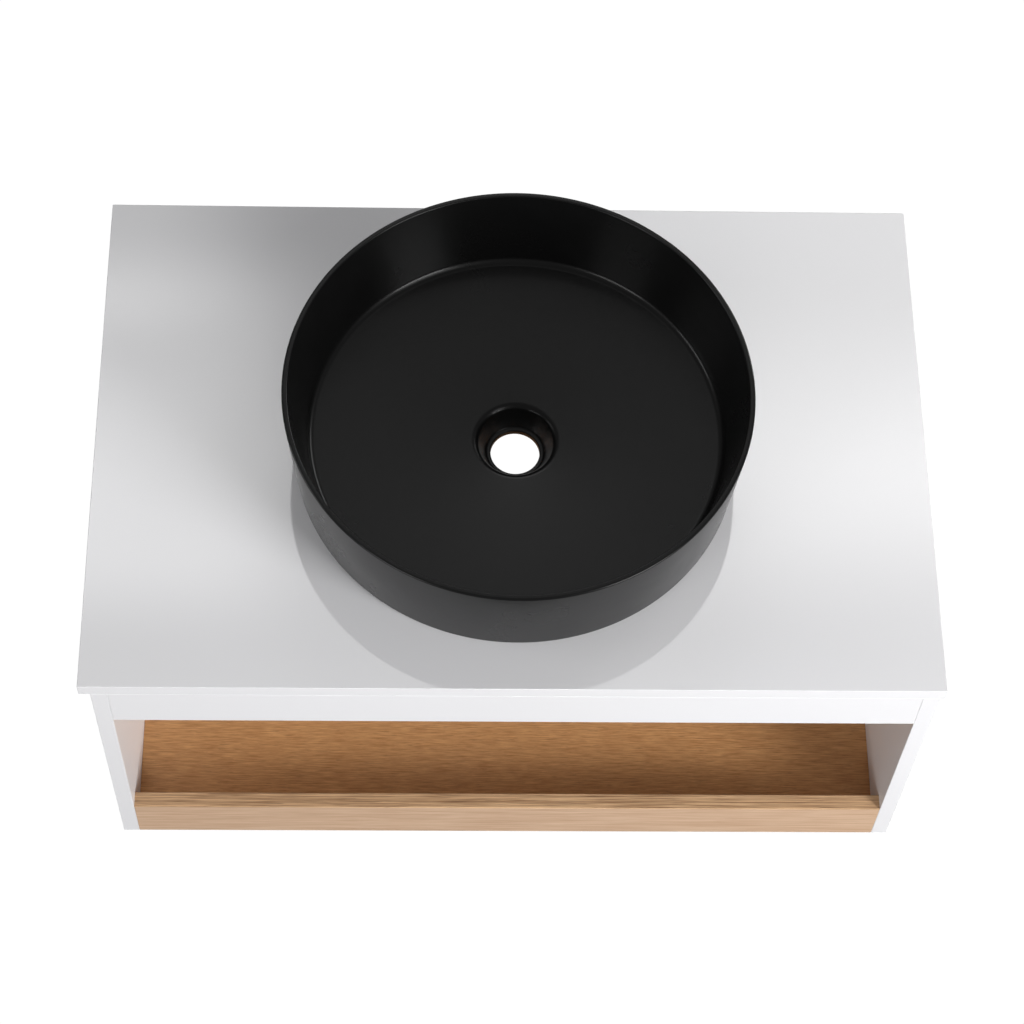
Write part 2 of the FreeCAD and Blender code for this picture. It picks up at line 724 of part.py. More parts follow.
def brace_screws(screw):
    copies = []
    for y in BRACE_Y:
        for along in BRACE_HOLES:
            spot = f"({y} + {along})"
            up = (inward("brace_hole"), spot, f"({SLAB_UNDER} - brace_sheet)")
            aside = (inward("brace_sheet"), spot, f"({SLAB_UNDER} - brace_hole)")
            copies.append(copy_at(screw, up))
            copies.append(copy_at(screw, aside, AGAINST_X))
    return grouped(copies)


def hanger_screws(screw):
    copies = []
    for rise in EAR_HOLES:
        place = (inward("housing_sheet"), EAR_MIDDLE, f"({HANGER_Z} + {rise})")
        copies.append(copy_at(screw, place, AGAINST_X))
    return grouped(copies)


# ------------------------------------------------------------------ adjustable hangers
def hanger_housing():
    """A pressed channel on the side panel, with an ear for the wood screws."""
    outer = f"({HOUSING_ROOM} + housing_sheet)"
    width = f"({SLIDER_END} + housing_lip)"
    shell = padded(
        "Housing",
        "XZ_Plane",
        (
            ("0", f"(0 - {outer})"),
            (width, f"(0 - {outer})"),
            (width, f"(0 - {HOUSING_ROOM})"),
            ("housing_sheet", f"(0 - {HOUSING_ROOM})"),
            ("housing_sheet", HOUSING_ROOM),
            (width, HOUSING_ROOM),
            (width, outer),
            ("0", outer),
        ),
        "housing_length",
    )
    put(shell, (inward("0"), HOUSING_REAR, HANGER_Z))
    ear = block(
        (inward("0"), f"({HOUSING_FRONT} - ear_length)", f"({HANGER_Z} - {outer})"),
        ("housing_sheet", "(ear_length + overshoot)", f"(2 * {outer})"),
    )
    holes = []
    for rise in EAR_HOLES:
        place = (inward("(0 - overshoot)"), EAR_MIDDLE, f"({HANGER_Z} + {rise})")
        length = "(housing_sheet + 2 * overshoot)"
        holes.append(rod("(screw_radius + screw_play)", length, place, ALONG_X))
    place = (inward(HEIGHT_SCREW_U), HEIGHT_SCREW_Y, f"({HANGER_Z} - {outer} - overshoot)")
    holes.append(rod("(stem_radius + slide_gap)", "(housing_sheet + 2 * overshoot)", place))
    return cut(joined([shell, ear]), holes)


def hanger_slider():
    """The block between housing and hook: one lane for the height screw, one pocket for the hook."""
    solid = block(
        (inward(LANE_START), SLIDER_FRONT, f"({HANGER_Z} - {SLIDER_HALF})"),
        (f"({SLIDER_END} - {LANE_START})", "slider_length", f"(2 * {SLIDER_HALF})"),
    )
    pocket = block(
        (
            inward(POCKET_START),
            f"({SLIDER_FRONT} + slider_nose)",
            f"({HANGER_Z} - hook_height / 2 - slide_gap)",
        ),
        ("(hook_width + 2 * slide_gap)", "slider_length", "(hook_height + 2 * slide_gap)"),
    )
    lane = rod(
        "(stem_radius + fit_gap)",
        f"(2 * {SLIDER_HALF} + 2 * overshoot)",
        (inward(HEIGHT_SCREW_U), HEIGHT_SCREW_Y, f"({HANGER_Z} - {SLIDER_HALF} - overshoot)"),
    )
    nose_hole = rod(
        "(stem_radius + slide_gap)",
        "(slider_nose + 2 * overshoot)",
        (inward(DEPTH_SCREW_U), f"({SLIDER_FRONT} - overshoot)", DEPTH_SCREW_Z),
        ALONG_Y,
    )
    return cut(solid, [pocket, lane, nose_hole])


def hanger_hook():
    """The hook: a threaded body, an arm through the rear rail and a tooth behind the flange."""
    top = "(hook_seat + arm_height)"
    tooth_front = "(slide_gap - plate_joggle)"
    body_rear = f"({HOOK_FRONT} + hook_length)"
    profile = padded(
        "Hook",
        "YZ_Plane",
        (
            (HOOK_FRONT, f"({top} - hook_height)"),
            (body_rear, f"({top} - hook_height)"),
            (body_rear, "hook_seat"),
            (tooth_front, "hook_seat"),
            (tooth_front, "(hook_seat - tooth_depth)"),
            ("(0 - wall_gap)", "(hook_seat - tooth_depth)"),
            ("(0 - wall_gap)", top),
            (HOOK_FRONT, top),
        ),
        "hook_width",
    )
    put(profile, (inward(HOOK_START), 0, 0))
    thread = rod(
        "(stem_radius + fit_gap)",
        "(hook_length + 2 * overshoot)",
        (inward(DEPTH_SCREW_U), f"({HOOK_FRONT} - overshoot)", DEPTH_SCREW_Z),
        ALONG_Y,
    )
    return cut(profile, [thread])


def adjusting_screw(name, wall, reach):
    """A screw whose head and collar hold a wall between them; Z = 0 is the wall's head side."""
    stem = turned(
        name,
        (
            ("0", "(0 - slide_gap - stem_head_height)"),
            ("(stem_head - stem_head_bevel)", "(0 - slide_gap - stem_head_height)"),
            ("stem_head", "(stem_head_bevel - slide_gap - stem_head_height)"),
            ("stem_head", "(0 - slide_gap)"),
            ("stem_radius", "(0 - slide_gap)"),
            ("stem_radius", f"({wall} + slide_gap)"),
            ("collar_radius", f"({wall} + slide_gap)"),
            ("collar_radius", f"({wall} + slide_gap + collar_height)"),
            ("stem_radius", f"({wall} + slide_gap + collar_height)"),
            ("stem_radius", f"({wall} + {reach} - stem_point)"),
            ("(stem_radius - stem_point)", f"({wall} + {reach})"),
            ("0", f"({wall} + {reach})"),
        ),
    )
    key = doc.addObject("Part::Prism", "Key")
    key.Polygon = 6
    bind(key, "Circumradius", "key_radius")
    bind(key, "Height", "(key_depth + overshoot)")
    put(key, ("0", "0", "(0 - slide_gap - stem_head_height - overshoot)"))
    return cut(stem, [key])


def height_screw():
    reach = f"(2 * {HOUSING_ROOM} - stem_point)"
    place = (inward(HEIGHT_SCREW_U), HEIGHT_SCREW_Y, f"({HANGER_Z} - {HOUSING_ROOM} - housing_sheet)")
    return put(adjusting_screw("HeightScrew", "housing_sheet", reach), place)


def depth_screw():
    place = (inward(DEPTH_SCREW_U), SLIDER_FRONT, DEPTH_SCREW_Z)
    return put(adjusting_screw("DepthScrew", "slider_nose", "depth_screw_reach"), place, ALONG_Y)


def wall_plate():
    """A joggled plate: flat on the wall, with a flange standing off it for the hook."""
    plate = padded(
        "WallPlate",
        "YZ_Plane",
        (
            ("0", "(0 - plate_low)"),
            ("0", "plate_bend"),
            ("(0 - plate_joggle)", "(plate_bend + plate_joggle)"),
            ("(0 - plate_joggle)", "hook_seat"),
            ("(0 - plate_joggle - plate_sheet)", "hook_seat"),
            ("(0 - plate_joggle - plate_sheet)", "(plate_bend + plate_joggle - plate_bend_shift)"),
            ("(0 - plate_sheet)", "(plate_bend - plate_bend_shift)"),
            ("(0 - plate_sheet)", "(0 - plate_low)"),
        ),
        "plate_width",
    )
    put(plate, (inward("plate_inset"), 0, 0))
    holes = []
    for side in ("(0 - hole_spacing / 2)", "(hole_spacing / 2)"):
        place = (inward(PLATE_HOLE_U), "(0 - plate_sheet - overshoot)", side)
        holes.append(rod("hole_radius", "(plate_sheet + 2 * overshoot)", place, ALONG_Y))
    return cut(plate, holes)


# ------------------------------------------------------------------ the whole vanity
node("countertop", countertop())
node_pair("side_panel", side_panel())
node("front_rail", front_rail())
node("rear_rail", rear_rail())
node("shelf_board", shelf_board())
node("shelf_lip", shelf_lip())
node("lip_edge_band", lip_edge_band())
node("vessel_basin", vessel_basin())
node("basin_seal", basin_seal())
node("dowels", dowels())
node("cam_bolts", cam_bolts())
node("cam_locks", cam_locks())
node("corner_braces", corner_braces())
screw = cross_head_screw()
node("brace_screws", brace_screws(screw))
node("hanger_screws", hanger_screws(screw))
node_pair("hanger_housing", hanger_housing())
node_pair("hanger_slider", hanger_slider())
node_pair("hanger_hook", hanger_hook())
node_pair("height_screw", height_screw())
node_pair("depth_screw", depth_screw())
node_pair("wall_plate", wall_plate())

doc.recompute()
for obj in doc.Objects:
    if "Invalid" in obj.State or "Error" in obj.State:
        raise RuntimeError(f"{obj.Name} failed: {obj.State}")
for name, obj in nodes.items():
    if obj.Shape.isNull() or not obj.Shape.isValid():
        raise RuntimeError(f"{name} has no valid shape")

os.makedirs("parts", exist_ok=True)
for name, obj in nodes.items():
    obj.Shape.exportStep(f"parts/{name}.step")
    print(name, len(obj.Shape.Solids), "solid(s)", round(obj.Shape.Volume / 1000, 2), "cm3")
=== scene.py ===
import json
import math

import bmesh
import bpy
from mathutils import Matrix, Vector


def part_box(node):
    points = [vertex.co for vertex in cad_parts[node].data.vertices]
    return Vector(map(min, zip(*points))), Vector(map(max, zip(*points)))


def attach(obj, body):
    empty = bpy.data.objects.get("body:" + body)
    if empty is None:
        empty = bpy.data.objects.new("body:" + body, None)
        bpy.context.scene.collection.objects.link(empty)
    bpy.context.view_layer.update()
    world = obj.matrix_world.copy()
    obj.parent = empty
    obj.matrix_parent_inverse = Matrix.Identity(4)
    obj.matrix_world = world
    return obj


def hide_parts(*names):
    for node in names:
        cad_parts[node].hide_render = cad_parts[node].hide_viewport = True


# A wall-hung vanity with a round vessel basin: white lacquered cabinet, oak shelf, black glazed
# bowl, and the zinc plated hangers that carry it.
# Metres, +Z up, the wall at Y = 0 and the front at -Y.

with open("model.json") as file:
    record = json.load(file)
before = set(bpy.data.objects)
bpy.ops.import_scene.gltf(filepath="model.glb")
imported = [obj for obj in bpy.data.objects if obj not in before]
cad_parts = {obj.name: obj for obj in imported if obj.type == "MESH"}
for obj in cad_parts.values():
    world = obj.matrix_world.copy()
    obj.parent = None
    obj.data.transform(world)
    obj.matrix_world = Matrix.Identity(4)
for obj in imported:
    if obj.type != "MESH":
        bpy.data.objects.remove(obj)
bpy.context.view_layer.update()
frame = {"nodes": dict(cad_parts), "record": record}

MM = 0.001
TOP_LOW, TOP_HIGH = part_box("countertop")
BASIN_LOW, BASIN_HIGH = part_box("vessel_basin")
BASIN_CENTRE = (BASIN_LOW + BASIN_HIGH) / 2
DECK = TOP_HIGH.z


# ------------------------------------------------------------------ camera
CAMERA_FROM_FRONT_EDGE = Vector((-0.0761, -0.9941, 2.1638))
CAMERA_TILT = (28.428, -1.874, -0.524)
CAMERA_SHIFT = (-0.0066, -0.0009)
LENS = 95.62
FULL_FRAME = 36
FARTHEST = 50


def place_camera():
    """A long lens above the front edge, looking down into the bowl."""
    front_edge = Vector(((TOP_LOW.x + TOP_HIGH.x) / 2, TOP_LOW.y, DECK))
    data = bpy.data.cameras.new("camera")
    data.sensor_width = FULL_FRAME
    data.lens = LENS
    data.shift_x, data.shift_y = CAMERA_SHIFT
    data.clip_end = FARTHEST
    camera = bpy.data.objects.new("camera", data)
    camera.location = front_edge + CAMERA_FROM_FRONT_EDGE
    camera.rotation_euler = [math.radians(angle) for angle in CAMERA_TILT]
    bpy.context.scene.collection.objects.link(camera)
    bpy.context.scene.camera = camera


# ------------------------------------------------------------------ node helpers
class Graph:
    """Adds and joins the nodes of one node tree."""

    def __init__(self, tree):
        self.tree = tree

    def add(self, kind, inputs=None, **settings):
        node = self.tree.nodes.new(kind)
        for name, value in settings.items():
            setattr(node, name, value)
        for name, value in (inputs or {}).items():
            if isinstance(value, bpy.types.NodeSocket):
                self.tree.links.new(value, node.inputs[name])
            else:
                node.inputs[name].default_value = value
        return node

    def math(self, operation, first, second=0.0, third=0.0):
        values = {0: first, 1: second, 2: third}
        return self.add("ShaderNodeMath", values, operation=operation).outputs[0]

    def vector_math(self, operation, first, second):
        values = {0: first, 1: second}
        return self.add("ShaderNodeVectorMath", values, operation=operation).outputs[0]

    def plus(self, vector, other):
        return self.vector_math("ADD", vector, other)

    def times(self, vector, factors):
        return self.vector_math("MULTIPLY", vector, factors)

    def noise(self, vector, scale, detail=3.0, roughness=0.55, distortion=0.0):
        inputs = {
            "Vector": vector,
            "Scale": scale,
            "Detail": detail,
            "Roughness": roughness,
            "Distortion": distortion,
        }
        return self.add("ShaderNodeTexNoise", inputs).outputs["Fac"]

    def band(self, value, low, high, start=0.0, end=1.0):
        """Smoothly map low..high to start..end."""
        inputs = {
            "Value": value,
            "From Min": low,
            "From Max": high,
            "To Min": start,
            "To Max": end,
        }
        return self.add("ShaderNodeMapRange", inputs, interpolation_type="SMOOTHSTEP").outputs[0]

    def blend(self, share, first, second):
        """Mix two colours: sockets 6 and 7 and output 2 are the Mix node's colour ones."""
        values = {0: share, 6: first, 7: second}
        return self.add("ShaderNodeMix", values, data_type="RGBA").outputs[2]


def start_group(name, inputs, outputs):
    """A shader node group with named sockets, its graph and its input and output nodes."""
    tree = bpy.data.node_groups.new(name, "ShaderNodeTree")
    kinds = {"float": "NodeSocketFloat", "color": "NodeSocketColor", "vector": "NodeSocketVector"}
    for socket, kind, default in inputs:
        made = tree.interface.new_socket(name=socket, in_out="INPUT", socket_type=kinds[kind])
        if default is not None:
            made.default_value = default
    for socket, kind in outputs:
        tree.interface.new_socket(name=socket, in_out="OUTPUT", socket_type=kinds[kind])
    graph = Graph(tree)
    return tree, graph, graph.add("NodeGroupInput").outputs, graph.add("NodeGroupOutput")


def finish_group(graph, end, **values):
    """Join the results to the group's outputs of the same names."""
    for name, value in values.items():
        graph.tree.links.new(value, end.inputs[name])


# ------------------------------------------------------------------ studio
FLOOR_DROP = 0.45
FLOOR_HALF = 12.0
LAMP_SIZE = 1.0
LAMP_DISTANCE = 2.6
# name, compass angle from the front towards the right, height angle, brightness, what it lights
LAMPS = (
    ("key", 48, 15, 20.5, "others"),
    ("bowl_key", 45, 15, 9.5, "bowl"),
    ("front_low", 0, 15, 3.4, "others"),
    ("left_low", -45, 15, 5.2, "all"),
    ("right_high", 45, 38, 1.8, "all"),
    ("left_side", -90, 15, 3.5, "all"),
    ("back_right", 135, 15, 4.0, "all"),
    ("back_high", 180, 38, 1.2, "all"),
)
# name, middle, height, size and brightness of the soft sheets overhead that the worktop mirrors
PANELS = (
    ("left_panel", (-1.16, 1.33), 2.81, (2.12, 1.04), 3.3),
    ("right_panel", (1.35, 1.85), 2.82, (3.2, 2.1), 5.4),
    ("front_panel", (0.2, 0.65), 2.83, (5.4, 2.2), 2.6),
    ("corner_panel", (-1.2, 1.95), 2.84, (1.7, 0.9), 2.8),
)
PANEL_FADE = 0.45
BOWL_LIGHT_PLACE = (0, 1.6, 2.8)
BOWL_LIGHT_SIZE = (2.4, 3.0)
BOWL_LIGHT = 0.34
TENT_GLOW = 0.2
FLOOR_GLOW = 0.23
CLEAN_WHITE = 1.02


def softbox(name, place, aim, size, brightness):
    """A rectangular light that looks at a point; its power follows its brightness and size."""
    data = bpy.data.lights.new(name, "AREA")
    data.shape = "RECTANGLE"
    data.size, data.size_y = size
    data.energy = math.pi * size[0] * size[1] * brightness
    lamp = bpy.data.objects.new(name, data)
    lamp.location = place
    lamp.rotation_euler = (Vector(aim) - Vector(place)).to_track_quat("-Z", "Y").to_euler()
    bpy.context.scene.collection.objects.link(lamp)
    return lamp


def glowing_sheet(name, centre, level, size, brightness):
    """A clear glowing sheet overhead that fades towards its edges, seen only in gloss."""
    material = bpy.data.materials.new(name)
    material.use_nodes = True
    graph = Graph(material.node_tree)
    graph.tree.nodes.remove(graph.tree.nodes["Principled BSDF"])
    place = graph.add("ShaderNodeTexCoord").outputs["Object"]
    off_middle = graph.add("ShaderNodeVectorMath", {0: place}, operation="ABSOLUTE").outputs[0]
    spot = graph.add("ShaderNodeSeparateXYZ", {0: off_middle})
    fade = {"low": 1 - PANEL_FADE, "high": 1, "start": 1.0, "end": 0.0}
    fades = [graph.band(spot.outputs[axis], **fade) for axis in ("X", "Y")]
    strength = graph.math("MULTIPLY", graph.math("MULTIPLY", *fades), brightness)
    glow = graph.add("ShaderNodeEmission", {"Strength": strength})
    clear = graph.add("ShaderNodeBsdfTransparent")
    sheet = graph.add("ShaderNodeAddShader", {0: glow.outputs[0], 1: clear.outputs[0]})
    graph.tree.links.new(sheet.outputs[0], graph.tree.nodes["Material Output"].inputs["Surface"])
    mesh = bpy.data.meshes.new(name)
    mesh.from_pydata([(-1, -1, 0), (-1, 1, 0), (1, 1, 0), (1, -1, 0)], [], [(0, 1, 2, 3)])
    mesh.materials.append(material)
    panel = bpy.data.objects.new(name, mesh)
    panel.location = (*centre, level)
    panel.scale = (size[0] / 2, size[1] / 2, 1)
    panel.visible_camera = False
    panel.visible_diffuse = False
    bpy.context.scene.collection.objects.link(panel)
    return panel


def reached(name, piece, state):
    """A collection that a light reads to leave one piece out, or to reach nothing else."""
    collection = bpy.data.collections.new(name)
    collection.objects.link(piece)
    collection.collection_objects[0].light_linking.link_state = state
    return collection


def glow_for_camera(tree, glow, socket):
    """Full white where the camera looks straight at it, and only a glow as a source of light."""
    path = tree.nodes.new("ShaderNodeLightPath")
    ramp = tree.nodes.new("ShaderNodeMapRange")
    ramp.inputs["To Min"].default_value = glow
    ramp.inputs["To Max"].default_value = CLEAN_WHITE
    tree.links.new(path.outputs["Is Camera Ray"], ramp.inputs["Value"])
    tree.links.new(ramp.outputs["Result"], socket)


def light_the_studio(bowl):
    """A low key from the front right, soft fills, and sheets overhead for the worktop's gloss."""
    world = bpy.data.worlds.new("tent")
    world.use_nodes = True
    backdrop = world.node_tree.nodes["Background"]
    backdrop.inputs["Color"].default_value = (1.0, 1.0, 1.0, 1)
    glow_for_camera(world.node_tree, TENT_GLOW, backdrop.inputs["Strength"])
    bpy.context.scene.world = world
    middle = Vector((0, TOP_LOW.y / 2, DECK))
    reach = {
        "all": None,
        "others": reached("all_but_bowl", bowl, "EXCLUDE"),
        "bowl": reached("bowl_only", bowl, "INCLUDE"),
    }
    for name, compass, height, brightness, lit in LAMPS:
        turn, lift = math.radians(compass), math.radians(height)
        aside, ahead = math.sin(turn) * math.cos(lift), -math.cos(turn) * math.cos(lift)
        place = middle + LAMP_DISTANCE * Vector((aside, ahead, math.sin(lift)))
        lamp = softbox(name, place, middle, (LAMP_SIZE, LAMP_SIZE), brightness)
        lamp.light_linking.receiver_collection = reach[lit]
    for panel in PANELS:
        glowing_sheet(*panel).light_linking.receiver_collection = reach["others"]
    bowl_light = softbox("bowl_light", BOWL_LIGHT_PLACE, middle, BOWL_LIGHT_SIZE, BOWL_LIGHT)
    bowl_light.light_linking.receiver_collection = reach["bowl"]
    bpy.context.scene.view_settings.view_transform = "Standard"


def lay_floor():
    """A plain pale sweep well under the cabinet."""
    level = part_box("side_panel_left")[0].z - FLOOR_DROP
    mesh = bpy.data.meshes.new("floor")
    square = [(-1, -1), (1, -1), (1, 1), (-1, 1)]
    corners = [(FLOOR_HALF * across, FLOOR_HALF * ahead, level) for across, ahead in square]
    mesh.from_pydata(corners, [], [(0, 1, 2, 3)])
    floor = bpy.data.objects.new("floor", mesh)
    bpy.context.scene.collection.objects.link(floor)
    material = bpy.data.materials.new("studio_floor")
    material.use_nodes = True
    shader = material.node_tree.nodes["Principled BSDF"]
    shader.inputs["Base Color"].default_value = (0.0, 0.0, 0.0, 1)
    shader.inputs["Roughness"].default_value = 1.0
    shader.inputs["Specular IOR Level"].default_value = 0.0
    shader.inputs["Emission Color"].default_value = (1, 1, 1, 1)
    glow_for_camera(material.node_tree, FLOOR_GLOW, shader.inputs["Emission Strength"])
    mesh.materials.append(material)


# ------------------------------------------------------------------ shared effects
def lacquer_group():
    """Sprayed lacquer: faint mottle, orange peel and a few soft wiping marks."""
    tree, g, given, end = start_group(
        "Sprayed Lacquer",
        (
            ("Vector", "vector", None),
            ("Paint", "color", (0.8, 0.8, 0.8, 1)),
            ("Warm Drift", "color", (0.78, 0.77, 0.75, 1)),
            ("Gloss", "float", 0.06),
            ("Wipe Marks", "float", 0.04),
            ("Peel Size", "float", 260.0),
            ("Peel", "float", 0.3),
        ),
        (("Color", "color"), ("Roughness", "float"), ("Height", "float")),
    )
    drift = g.noise(given["Vector"], scale=3.1, detail=2.0)
    fleck = g.noise(given["Vector"], scale=900.0, detail=2.0)
    drifted = g.band(drift, low=0.35, high=0.75, start=0.0, end=0.5)
    paint = g.blend(drifted, given["Paint"], given["Warm Drift"])
    flecked = g.band(fleck, low=0.3, high=0.7, start=0.0, end=0.02)
    paint = g.blend(flecked, paint, (0.5, 0.5, 0.5, 1))
    along_wipe = g.times(given["Vector"], (5.0, 16.0, 9.0))
    smear = g.noise(along_wipe, scale=1.0, detail=4.0, roughness=0.6, distortion=0.8)
    marks = g.math("MULTIPLY", g.band(smear, low=0.52, high=0.78), given["Wipe Marks"])
    rough = g.math("ADD", given["Gloss"], marks)
    peel = g.noise(given["Vector"], scale=given["Peel Size"], detail=1.0, roughness=0.4)
    long_wave = g.noise(given["Vector"], scale=28.0, detail=1.0, roughness=0.4)
    peeled = g.math("MULTIPLY", peel, given["Peel"])
    height = g.math("ADD", peeled, g.math("MULTIPLY", long_wave, 0.5))
    finish_group(g, end, Color=paint, Roughness=rough, Height=height)
    return tree


def oak_group():
    """Sliced oak veneer: soft streaks, fine fibres, open pores and a slow change of shade."""
    tree, g, given, end = start_group(
        "Oak Veneer",
        (
            ("Vector", "vector", None),
            ("Streak Run", "vector", (5.0, 120.0, 120.0)),
            ("Fibre Run", "vector", (18.0, 420.0, 420.0)),
            ("Pale", "color", (0.55, 0.38, 0.24, 1)),
            ("Deep", "color", (0.36, 0.22, 0.12, 1)),
            ("Pore Shade", "color", (0.16, 0.09, 0.05, 1)),
            ("Streaks", "float", 1.2),
            ("Fibres", "float", 1.2),
            ("Pores", "float", 0.5),
            ("Cloud", "float", 0.2),
            ("Matt", "float", 0.55),
        ),
        (("Color", "color"), ("Roughness", "float"), ("Height", "float")),
    )
    wander = g.noise(given["Vector"], scale=5.0, detail=2.0)
    along_streak = g.plus(g.times(given["Vector"], given["Streak Run"]), wander)
    streak = g.noise(along_streak, scale=1.0, detail=4.0, roughness=0.6, distortion=0.3)
    along_fibre = g.plus(g.times(given["Vector"], given["Fibre Run"]), wander)
    fibre = g.noise(along_fibre, scale=1.0, detail=3.0, roughness=0.65, distortion=0.1)
    tone = g.math("MULTIPLY_ADD", g.math("SUBTRACT", streak, 0.5), given["Streaks"], 0.5)
    tone = g.math("MULTIPLY_ADD", g.math("SUBTRACT", fibre, 0.5), given["Fibres"], tone)
    tone = g.math("MAXIMUM", g.math("MINIMUM", tone, 1.0), 0.0)
    color = g.blend(tone, given["Deep"], given["Pale"])
    along_pore = g.times(given["Vector"], g.times(given["Fibre Run"], (1.6, 1.3, 1.3)))
    dash = g.noise(along_pore, scale=1.0, detail=2.0, roughness=0.5)
    pore = g.math("MULTIPLY", g.band(dash, low=0.60, high=0.72), given["Pores"])
    color = g.blend(pore, color, given["Pore Shade"])
    shade = g.noise(given["Vector"], scale=3.4, detail=2.0)
    clouded = g.math("MULTIPLY", g.band(shade, low=0.35, high=0.7), given["Cloud"])
    color = g.blend(clouded, color, given["Deep"])
    rough = g.math("MULTIPLY_ADD", pore, 0.25, given["Matt"])
    height = g.math("SUBTRACT", g.math("MULTIPLY", fibre, 0.5), pore)
    finish_group(g, end, Color=color, Roughness=rough, Height=height)
    return tree


def glaze_group():
    """Fired satin glaze: a soft body colour, fine specks and a slightly uneven surface."""
    tree, g, given, end = start_group(
        "Satin Glaze",
        (
            ("Vector", "vector", None),
            ("Glaze", "color", (0.0050, 0.0050, 0.0050, 1)),
            ("Bloom", "color", (0.0105, 0.0105, 0.011, 1)),
            ("Satin", "float", 0.30),
            ("Specks", "float", 0.3),
        ),
        (("Color", "color"), ("Roughness", "float"), ("Height", "float")),
    )
    cloud = g.noise(given["Vector"], scale=9.0, detail=4.0, roughness=0.6)
    speck = g.noise(given["Vector"], scale=1400.0, detail=1.0, roughness=0.5)
    clouded = g.band(cloud, low=0.4, high=0.8, start=0.0, end=0.35)
    color = g.blend(clouded, given["Glaze"], given["Bloom"])
    specked = g.math("MULTIPLY", g.band(speck, low=0.62, high=0.8), given["Specks"])
    color = g.blend(specked, color, given["Bloom"])
    rough = g.math("ADD", given["Satin"], g.band(cloud, low=0.3, high=0.8, start=-0.03, end=0.05))
    slow = g.noise(given["Vector"], scale=34.0, detail=2.0, roughness=0.5)
    grit = g.noise(given["Vector"], scale=700.0, detail=2.0, roughness=0.6)
    height = g.math("ADD", g.math("MULTIPLY", slow, 0.8), g.math("MULTIPLY", grit, 0.12))
    finish_group(g, end, Color=color, Roughness=rough, Height=height)
    return tree


def plated_group():
    """Plated or cast metal: cloudy tint, fine brushing, pits and handling marks."""
    tree, g, given, end = start_group(
        "Plated Metal",
        (
            ("Vector", "vector", None),
            ("Metal", "color", (0.7, 0.71, 0.73, 1)),
            ("Tint", "color", (0.62, 0.66, 0.74, 1)),
            ("Polish", "float", 0.28),
            ("Brushing", "vector", (60.0, 900.0, 900.0)),
            ("Grain", "float", 0.4),
            ("Pits", "float", 0.1),
        ),
        (("Color", "color"), ("Roughness", "float"), ("Height", "float")),
    )
    cloud = g.noise(given["Vector"], scale=55.0, detail=4.0, roughness=0.6, distortion=0.7)
    color = g.blend(g.band(cloud, low=0.35, high=0.7), given["Metal"], given["Tint"])
    along_brush = g.times(given["Vector"], given["Brushing"])
    lines = g.noise(along_brush, scale=1.0, detail=3.0, roughness=0.6)
    dent = g.noise(given["Vector"], scale=620.0, detail=2.0)
    pit = g.math("MULTIPLY", g.band(dent, low=0.6, high=0.74), given["Pits"])
    color = g.blend(pit, color, (0.12, 0.12, 0.12, 1))
    rough = g.math("ADD", given["Polish"], g.math("MULTIPLY", lines, 0.14))
    rough = g.math("ADD", rough, g.band(cloud, low=0.4, high=0.8, start=-0.04, end=0.08))
    height = g.math("SUBTRACT", g.math("MULTIPLY", lines, given["Grain"]), pit)
    finish_group(g, end, Color=color, Roughness=rough, Height=height)
    return tree


GROUPS = {
    "lacquer": lacquer_group(),
    "oak": oak_group(),
    "glaze": glaze_group(),
    "plated": plated_group(),
}


# ------------------------------------------------------------------ materials
COAT_ROUGHNESS = 0.09


def finish_material(name, group, values, relief, metal=0.0, shine=0.5, coat=0.0):
    """A material whose colour, gloss and relief come from one shared effect."""
    material = bpy.data.materials.new(name)
    material.use_nodes = True
    graph = Graph(material.node_tree)
    shader = material.node_tree.nodes["Principled BSDF"]
    where = graph.add("ShaderNodeTexCoord").outputs["Object"]
    effect = graph.add("ShaderNodeGroup", node_tree=GROUPS[group], label=group)
    graph.tree.links.new(where, effect.inputs["Vector"])
    for socket, value in values.items():
        effect.inputs[socket].default_value = value
    bump = graph.add("ShaderNodeBump", {"Height": effect.outputs["Height"]})
    bump.inputs["Strength"].default_value = 1.0
    bump.inputs["Distance"].default_value = relief
    graph.tree.links.new(effect.outputs["Color"], shader.inputs["Base Color"])
    graph.tree.links.new(effect.outputs["Roughness"], shader.inputs["Roughness"])
    graph.tree.links.new(bump.outputs["Normal"], shader.inputs["Normal"])
    shader.inputs["Metallic"].default_value = metal
    shader.inputs["Specular IOR Level"].default_value = shine
    shader.inputs["Coat Weight"].default_value = coat
    shader.inputs["Coat Roughness"].default_value = COAT_ROUGHNESS
    return material


